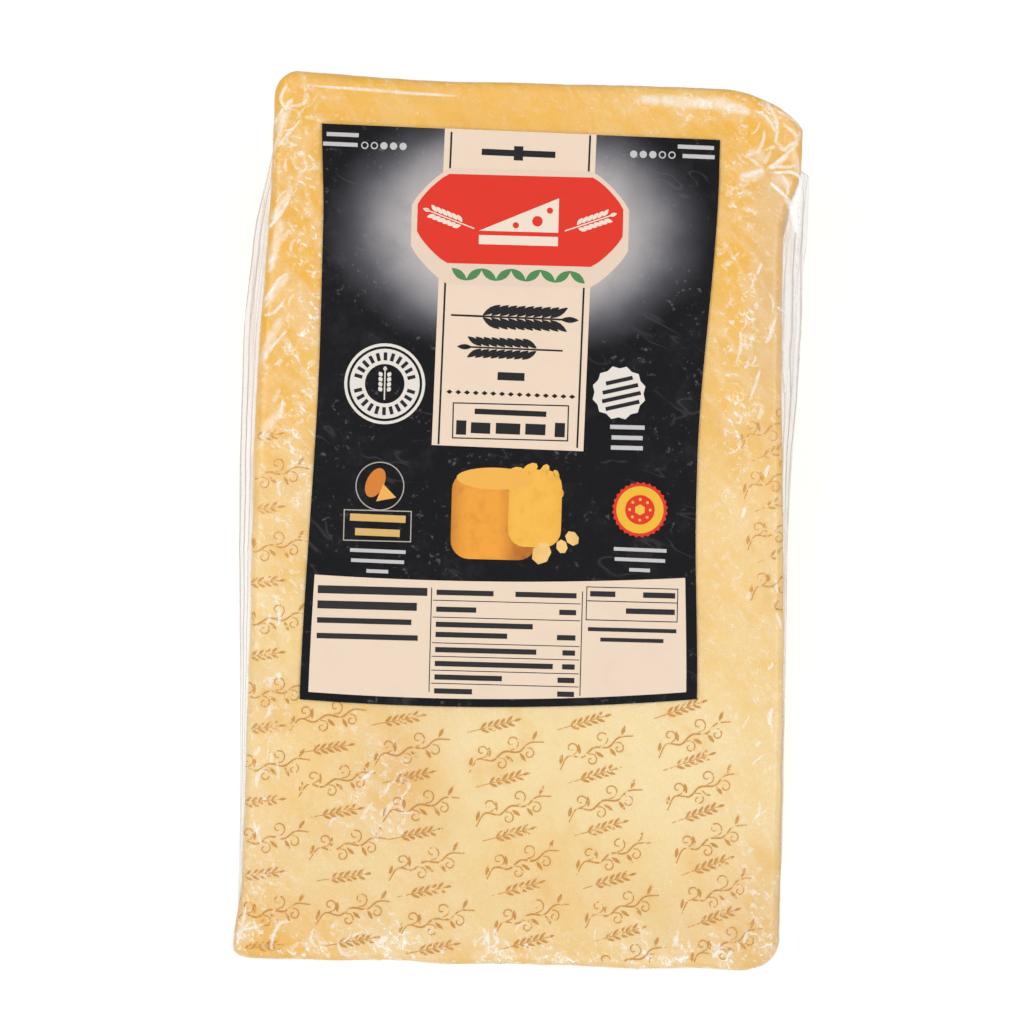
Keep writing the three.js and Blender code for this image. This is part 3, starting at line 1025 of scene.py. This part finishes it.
# %% the table panel
deselect()
bpy.ops.mesh.primitive_grid_add(x_subdivisions=24, y_subdivisions=6, size=1, location=(0.5, 0.5, 0))
bpy.context.object.scale = (0.951, 0.204, 1)
bpy.context.object.location = (0.497, 0.116, 0)
panel = settle("cream")
waisted(panel)
for x in (-18.6, 17.2):
    bar("black", x, 76.7, 0.22, 24.8)
for v in (86.1, 82.1, 76.0, 72.8, 69.5, 66.4):
    bar("black", -0.7, v, 35.0, 0.2)
rows = ((88.0, 13.5, 14.5), (84.0, 9.5, 4.0), (80.4, 23.0, 0), (78.0, 17.0, 4.4), (74.4, 24.0, 3.0),
        (71.1, 28.0, 3.0), (67.9, 16.0, 4.0), (64.6, 9.0, 4.0))
for v, width, amount in rows:
    bar("ink_text", -17.4 + width / 2, v, width, 1.25)
    if amount:
        bar("ink_text", 15.8 - amount / 2, v, amount, 1.25)
for v, width, height in ((88.0, 26.0, 1.9), (84.4, 23.6, 1.9), (80.7, 22.4, 1.3), (77.0, 24.0, 1.3)):
    bar("ink_text", -45.6 + width / 2, v, width, height)
frame_line("black", 18.2, 39.8, 82.4, 90.2, 0.22)
bar("black", 29.0, 86.9, 21.4, 0.22)
for x, v, width in ((22.0, 88.6, 6.0), (35.4, 88.6, 7.6), (33.4, 84.7, 11.6)):
    bar("ink_text", x, v, width, 1.3)
for x, v, width in ((29.2, 80.2, 21.0), (29.2, 77.8, 15.0)):
    bar("ink_text", x, v, width, 0.95)
print("shapes in all:", sum(len(shapes) for shapes in inks.values()))

# %% join each ink and lay it on the paper
INK_LOOKS = {  # colour, height above the paper in mm
    "cream": ("F0D9C2", 0.01), "pale": ("E9E1D8", 0.01), "amber": ("F4A438", 0.01), "grey": ("C9C5C4", 0.01),
    "gold": ("DDB46C", 0.01), "fine_line": ("B9AEA2", 0.01), "orange": ("D9802C", 0.01), "chip": ("F0B25A", 0.035),
    "straw": ("F8BC4C", 0.035), "black": ("161519", 0.035), "ink_text": ("262326", 0.035),
    "amber_top": ("F5B650", 0.06), "crumb": ("F6CB80", 0.06), "cream_rim": ("EBD3BE", 0.06), "red": ("E4301C", 0.085),
    "green": ("4E8A50", 0.085), "yellow": ("F2BC36", 0.11), "rim_2": ("F3E1CF", 0.135), "red_2": ("E4301C", 0.16),
    "rim_3": ("F2C244", 0.185)}
ROUNDED = {  # place of its lightest line across, reach in mm and colour at the sides, for what is shaded round
    "amber": (-8.5, 9.5, "A85A12"), "straw": (3.5, 11.0, "D9861E"), "crumb": (9.0, 8.0, "DDA050")}
for ink, shapes in inks.items():
    look, height = INK_LOOKS[ink]
    print_piece = joined(shapes, f"print_{ink}")
    slice_grid(print_piece)
    thicken(print_piece, INK_THICKNESS)
    lay_on_face(print_piece, PRINT_LIFT + height)
    colour = Finish(f"ink_{ink}")
    worn = colour.noise(7, 4, rough=0.65).ease(0.45, 0.75) * 0.16
    shade = tuple(c * 0.82 for c in paint(look)[:3]) + (1.0,)
    ink_tone = colour.mixed(worn, paint(look), shade)
    if ink in ROUNDED:
        middle, reach, dim = ROUNDED[ink]
        away = (colour.node("ShaderNodeSeparateXYZ", {}, [colour.place], "X") / MM - middle).size() / reach
        blotch = colour.noise(3.0, 3, rough=0.6).ease(0.45, 0.75) * 0.22
        ink_tone = colour.mixed(away.ease(0.3, 1.1) * 0.8 + blotch, paint(look), paint(dim))
    creased = colour.bump(colour.noise(5, 4, colour.stretched(60, (1, 0.6, 1)), 0.6), 0.3)
    print_piece.data.materials.append(colour.finish(Base_Color=ink_tone, Roughness=0.45, Normal=creased,
                                                    Specular_IOR_Level=0.2))
    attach(print_piece, "root")
    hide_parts("label")

# %% [markdown]
# ## The film's brown print
#
# From the middle of the label downward the film carries a repeating brown ornament in rows: a running vine and a
# small ear of wheat by turns. Each is modelled once and copied. The rows fan out: they lie flatter and farther
# apart on the left than on the right, as the film was pulled askew when the bag was drawn tight.

# %% a stroke: a small grid bent along a path
def soft_path(path, share):
    """Points on a soft curve through the path's corners, at the given shares of its length."""
    path = np.array(path, float)
    ends = np.vstack([2 * path[0] - path[1], path, 2 * path[-1] - path[-2]])
    t = np.clip(share, 0, 1) * (len(path) - 1 - 1e-6)
    n = t.astype(int)
    f = (t - n)[:, None]
    a, b, c, d = ends[n], ends[n + 1], ends[n + 2], ends[n + 3]
    return 0.5 * (2 * b + (c - a) * f + (2 * a - 5 * b + 4 * c - d) * f ** 2 + (3 * b - a - 3 * c + d) * f ** 3)


def stroke(path, width, steps, thin=0.5):
    deselect()
    bpy.ops.mesh.primitive_grid_add(x_subdivisions=steps, y_subdivisions=2, size=1)
    piece = bpy.context.object
    share, side, flat = points(piece).T
    share = share + 0.5
    here, ahead = soft_path(path, share), soft_path(path, share + 0.01) - soft_path(path, share - 0.01)
    ahead /= np.linalg.norm(ahead, axis=1)[:, None]
    swell = side * width * (1 - thin + thin * np.sin(math.pi * share))
    place = here + np.stack([-ahead[:, 1], ahead[:, 0]], axis=1) * swell[:, None]
    move_points(piece, np.column_stack([place * MM, flat]))
    return piece


# %% the vine and the ear
def curl(x, v, reach, start, turn):
    """A tendril that rolls up: a path whose distance from its middle shrinks as it turns."""
    angles = np.radians(start + turn * np.linspace(0, 1, 9))
    radii = reach * np.linspace(1, 0.22, 9)
    return stroke([(x + r * math.cos(a), v + r * math.sin(a)) for a, r in zip(angles, radii)], 0.34, 16, 0.35)


def vine():
    """A running stem with tendrils that roll up above and below it, and small leaves."""
    stem = [(-9.4, -2.2), (-6.6, 0.3), (-3.4, -0.9), (-0.2, 0.4), (3.2, -0.5), (6.2, 0.9), (9.6, 0.2)]
    shapes = [stroke(stem, 0.46, 34, 0.4), curl(-5.2, 1.9, 1.7, 250, 400), curl(-1.6, -2.2, 1.6, 100, -390),
              curl(2.2, 2.1, 1.9, 245, 400), curl(5.4, -1.5, 1.5, 95, -380)]
    for x, v, turn in ((-8.4, 0.1, 60), (-3.6, 1.2, 80), (0.6, -1.5, -50), (7.8, 2.2, 50), (3.8, -2.0, -70)):
        leaf("vine", x, v, 2.5, 0.85, turn)
    return joined(shapes + inks.pop("vine"), "vine")


def film_ear():
    ear_of_wheat("ear", 0, 0, 12.8, 0, 5, 0.72)
    return joined(inks.pop("ear"), "ear")


masters = [film_ear(), vine()]
# column: x of its lowest motif, v of it, spacing of the rows, how far up it goes
columns = ((-57.6, 2.6, 17.3, 125), (-35.6, 4.6, 15.2, 66), (-16.2, 3.4, 13.5, 64), (6.2, 5.4, 12.8, 62),
           (27.8, 8.0, 12.5, 62), (50.4, 12.4, 12.3, 66), (72.2, 15.6, 12.0, 135))
SEED = 5
chance = random.Random(SEED)
sprigs = []
for number, (x0, v0, spacing, reach) in enumerate(columns):
    for row in range(-1, 24):
        kind = row % 2
        v = v0 + spacing * row / 2
        x = x0 - 1.15 * row + (1.6 if kind else 0) + chance.uniform(-0.4, 0.4)
        if number == 0:  # beside the label the outer columns run straight up
            x = x0 - 0.25 * row + (3.0 if kind else 0)
        if number == 6:
            x = x0 - 0.55 * row
        tilt = 8 + 15 * (x + 60) / 120 + chance.uniform(-1.5, 1.5)
        if v < 1.5 or v > reach or x > 66 or x < -62:
            continue
        deselect()
        copy = masters[kind].copy()
        copy.data = masters[kind].data.copy()
        bpy.context.collection.objects.link(copy)
        copy.location, copy.rotation_euler = (x * MM, v * MM, 0), (0, 0, math.radians(tilt))
        pick(copy)
        bpy.ops.object.transform_apply(location=True, rotation=True, scale=True)
        sprigs.append(copy)
for master in masters:
    bpy.data.objects.remove(master)
film_print = joined(sprigs, "film_print")
slice_grid(film_print, 6.0)
print("sprigs and vines:", len(sprigs))

# %% what the label hides is cut away
def on_label(piece, slack=0.0):
    x, v, _ = (points(piece) / MM).T
    return ((x > label_left(v) + slack) & (x < label_right(v) - slack) & (v > label_bottom(x) + slack)
            & (v < label_top(x) - slack))


print_x, print_v, _ = (points(film_print) / MM).T
beyond = (print_v < 1.4) | (print_x < left_edge(print_v) + 0.2) | (print_x > right_edge(print_v) - 0.2)
drop_points(film_print, on_label(film_print, 0.3) | beyond)
low_down = smoothstep(points(film_print)[:, 1] / MM, 150, 60)
beside = smoothstep(np.abs(points(film_print)[:, 0] / MM), 50, 58)
note(film_print, "fade", low_down * (1 - beside * 0.5))
lay_on_film(film_print, 0.04, 0.5)
thicken(film_print, INK_THICKNESS)

brown = Finish("brown_film_ink")
worn_off = brown.noise(1.3, 2, rough=0.6).ease(0.34, 0.5) * (0.3 + brown.noted("fade") * 0.4)
brown_tone = brown.mixed(brown.noise(20, 2), paint("C18728"), paint("CD963A"))
film_print.data.materials.append(brown.finish(Base_Color=brown_tone, Roughness=0.35, Alpha=worn_off))
film_print.visible_shadow = False  # printed on so thin a film, it throws none that shows
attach(film_print, "root")
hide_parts("sealed_pack")

# %% [markdown]
# ## Creases
#
# Where the bag is gathered at its corners the film folds over itself, and each fold shows as a soft pale line: the
# fold's own pale body, with a painted highlight along it.
# A round thread would look like wire, because a fold has no hard edge. So each one is a thin ribbon: a small grid
# bent along a path, and its finish fades out toward both rims. The grid's own UV map says how far across and along
# a point of the ribbon is.

# %% a ribbon of film
ribbons = []


def ribbon(path, width, strength):
    long = sum(math.dist(a, b) for a, b in zip(path, path[1:]))
    piece = stroke(path, width, max(5, int(long / 0.9)))
    note(piece, "strength", np.full(len(piece.data.vertices), strength))
    ribbons.append(piece)


# %% the folds at the corners and along the sides
FOLDS = {  # width in mm, strength: paths as x and v
    (1.3, 0.55): [  # the folds at the upper right ear
        [(56.9, 207.5), (58.7, 204.9), (60.2, 202.1), (60.5, 199.3), (60.3, 197.1), (61.0, 195.7)],
        [(54.6, 204.3), (57.5, 203.0), (59.2, 200.9), (60.2, 199.0)],
        [(59.9, 204.5), (62.5, 203.4), (64.9, 201.8), (65.9, 199.9)],
        [(61.6, 201.4), (63.1, 200.3), (64.8, 198.9), (65.2, 198.2)],
        [(65.3, 196.3), (63.4, 194.6), (61.6, 192.9), (59.7, 191.4), (58.1, 190.4)],
        [(57.4, 200.1), (57.4, 198.0), (56.8, 195.9), (55.9, 194.4), (54.2, 193.7), (52.8, 193.6)],
        [(52.8, 193.6), (54.7, 192.5), (56.2, 191.3), (57.4, 190.4)], [(57.7, 194.7), (58.9, 195.4), (60.3, 195.9)],
        [(58.6, 190.2), (60.9, 191.0), (63.3, 191.0), (65.4, 191.6)],
        [(61.7, 189.3), (62.9, 187.5), (63.4, 185.6), (63.5, 184.2)]],
    (1.8, 0.5): [
        [(65.9, 200.8), (65.7, 198.5), (65.0, 196.8), (63.4, 196.0), (62.2, 195.0), (61.3, 196.0), (60.5, 197.1)],
        [(51.5, 188.6), (53.9, 188.9), (56.0, 189.7), (57.9, 190.4)], [(63.7, 194.1), (60.9, 191.9), (58.6, 190.4)],
        [(59.2, 195.0), (58.3, 193.0), (57.6, 191.4)]],
    (1.3, 1.0): [  # the bright folds below it
        [(58.3, 189.7), (61.4, 189.6), (63.8, 189.9), (65.5, 189.2), (66.5, 187.8), (66.8, 185.7)],
        [(58.9, 187.4), (60.3, 186.2), (62.0, 184.8), (63.5, 183.4)]],
    (2.6, 1.0): [
        [(62.8, 184.1), (63.8, 182.5), (64.8, 180.6), (65.5, 178.0), (66.3, 174.3)],
        [(66.5, 187.1), (66.1, 184.2), (65.4, 182.1), (64.5, 180.4)],
        [(64.9, 184.7), (65.4, 181.8), (66.0, 178.5), (66.4, 173.8)], [(64.0, 183.2), (65.0, 181.4), (65.8, 178.5)]],
    (4.5, 0.3): [
        [(63.1, 197.4), (65.1, 195.1), (65.9, 191.8), (66.0, 188.0)], [(53.2, 194.3), (56.1, 193.7), (58.3, 191.9)],
        [(51.0, 188.1), (54.8, 188.7), (58.1, 190.2)], [(59.1, 188.8), (62.0, 187.9), (64.4, 186.1)]],
    (1.1, 0.8): [[(66.2, 190.0), (66.4, 182.0), (66.5, 172.0), (66.9, 160.0), (67.0, 148.0)]],
    (1.2, 0.6): [
        [(67.1, 163.1), (65.4, 156.7), (64.0, 152.2), (63.5, 145.9)], [(61.3, 157.9), (62.9, 157.0), (65.1, 158.0)],
        [(61.6, 156.0), (60.5, 152.7), (59.9, 150.2), (58.6, 148.9)], [(58.1, 143.2), (57.0, 139.6), (55.5, 134.8)],
        [(63.0, 136.3), (65.0, 137.9)], [(66.4, 154.8), (65.2, 147.2), (64.5, 137.7)], [(57.7, 168.3), (56.6, 165.2)],
        [(52.9, 152.1), (53.3, 148.5), (52.4, 144.5)],
        [(-55.7, 208.2), (-57.1, 205.4), (-57.4, 203.6), (-55.8, 201.2)],
        [(-59.0, 197.5), (-58.0, 199.7), (-56.7, 201.8)],
        [(-58.0, 192.4), (-55.7, 195.5), (-53.9, 197.6)], [(-59.9, 173.0), (-57.3, 176.0), (-54.4, 181.0)],
        [(-55.8, 190.3), (-56.0, 188.4), (-55.8, 186.7)],
        [(-60.6, 155.0), (-58.3, 158.7), (-56.8, 161.3), (-54.2, 163.0)],
        [(-60.6, 152.4), (-57.5, 153.5), (-54.7, 157.3)], [(-58.9, 143.9), (-56.6, 146.8), (-54.3, 149.5)],
        [(-55.1, 133.1), (-55.6, 127.9)], [(-59.6, 32.8), (-58.3, 29.3), (-57.3, 26.7)],
        [(-52, 207.4), (-40, 206.9), (-26, 206.2), (-14, 205.8)],
        [(-58.9, 9.2), (-61.8, 6.2), (-62.6, 2.8)], [(-55.9, 8.5), (-59.1, 7.2), (-61.8, 6.6)],
        [(-49.6, 9.0), (-52.5, 8.5), (-54.1, 5.1), (-54.4, 1.4)], [(-44.4, 7.9), (-45.1, 4.9), (-43.1, 2.4)],
        [(-38.9, 4.6), (-37.6, 1.8), (-35.2, 1.2)], [(-60.7, 12.6), (-61.3, 9.0), (-62.9, 4.7)]],
    (3.4, 0.4): [  # hazy lifted film down the left side
        [(-60.5, 154.0), (-58.0, 158.0), (-54.0, 163.0)], [(-60.0, 173.0), (-57.0, 178.0), (-54.0, 184.0)],
        [(-59.5, 190.0), (-57.5, 197.0), (-55.0, 203.0)], [(-60.5, 140.0), (-58.5, 147.0), (-55.5, 153.0)],
        [(-59.0, 163.0), (-57.5, 170.0), (-56.5, 176.0)], [(-61.0, 120.0), (-58.0, 127.0), (-54.5, 131.0)]],
    (4.2, 0.5): [[(40.0, 205.6), (47.0, 205.6), (55.0, 203.4)], [(26.0, 206.2), (36.0, 205.9), (46.0, 205.2)]]}
for (width, strength), paths in FOLDS.items():
    for path in paths:
        ribbon(path, width, strength)

# %% [markdown]
# Between the large folds lie many small ones. Chance places them, with a fixed seed, so that they are the same
# each time: each group has a middle, two reaches, a direction and a number.

# %% small stray creases
GROUPS = ((-57, 155, 4, 45, 55, 20), (57, 140, 5, 40, 72, 14), (-58, 60, 4, 38, 80, 14), (61, 70, 4, 45, 85, 12),
          (-20, 5, 40, 3, 70, 22), (40, 5, 24, 3, 75, 12), (-54, 202, 5, 5, 50, 7), (54, 203, 5, 4, 40, 2),
          (-28, 38, 8, 10, 60, 14))
for near_x, near_v, reach_x, reach_v, turn, count in GROUPS:
    for _ in range(count):
        x, v = chance.gauss(near_x, reach_x * 0.6), chance.gauss(near_v, reach_v * 0.6)
        a, long, bow = math.radians(turn + chance.gauss(0, 26)), chance.uniform(1.5, 5.5), chance.uniform(-0.22, 0.22)
        step = np.array([math.cos(a), math.sin(a)]) * long / 2
        aside = np.array([-step[1], step[0]]) * 2 * bow
        here = np.array([x, v])
        tips = np.array([here - step, here + step])
        inside = ((tips[:, 0] > left_edge(tips[:, 1]) + 0.8) & (tips[:, 0] < right_edge(tips[:, 1]) - 0.8)).all()
        if inside and tips[:, 1].max() < 207.5 and tips[:, 1].min() > 1.5:
            ribbon([here - step, here + aside, here + step], chance.uniform(0.6, 1.8), chance.uniform(0.25, 0.65))
creases = joined(ribbons, "film_creases")
drop_points(creases, on_label(creases, -0.1))
lay_on_film(creases, 0.08, 0.25)
thicken(creases, INK_THICKNESS)
print("creases:", len(ribbons), "faces:", len(creases.data.polygons))

glint = Finish("crease_highlight_finish")
placed = glint.node("ShaderNodeUVMap", {"uv_map": creases.data.uv_layers[0].name})
along = glint.node("ShaderNodeSeparateXYZ", {}, [placed], "X")
across = glint.node("ShaderNodeSeparateXYZ", {}, [placed], "Y")
body = (across - 0.5).size().ease(0.5, 0.05) * (along - 0.5).size().ease(0.5, 0.34)
patchy = glint.noise(1.6, 2).ease(0.25, 0.6) * 0.6 + 0.4
# the painted highlight: strongest along each ribbon's middle, fading toward its rims and ends
crease_highlight_alpha = body * glint.noted("strength") * patchy * 0.72
creases.data.materials.append(glint.finish(Base_Color=glint.mixed(glint.noise(3), paint("FFF9EC"), paint("FFFFFF")),
                                           Roughness=0.3, Alpha=crease_highlight_alpha))
creases.visible_shadow = creases.visible_diffuse = False
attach(creases, "root")
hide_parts("sealed_pack")
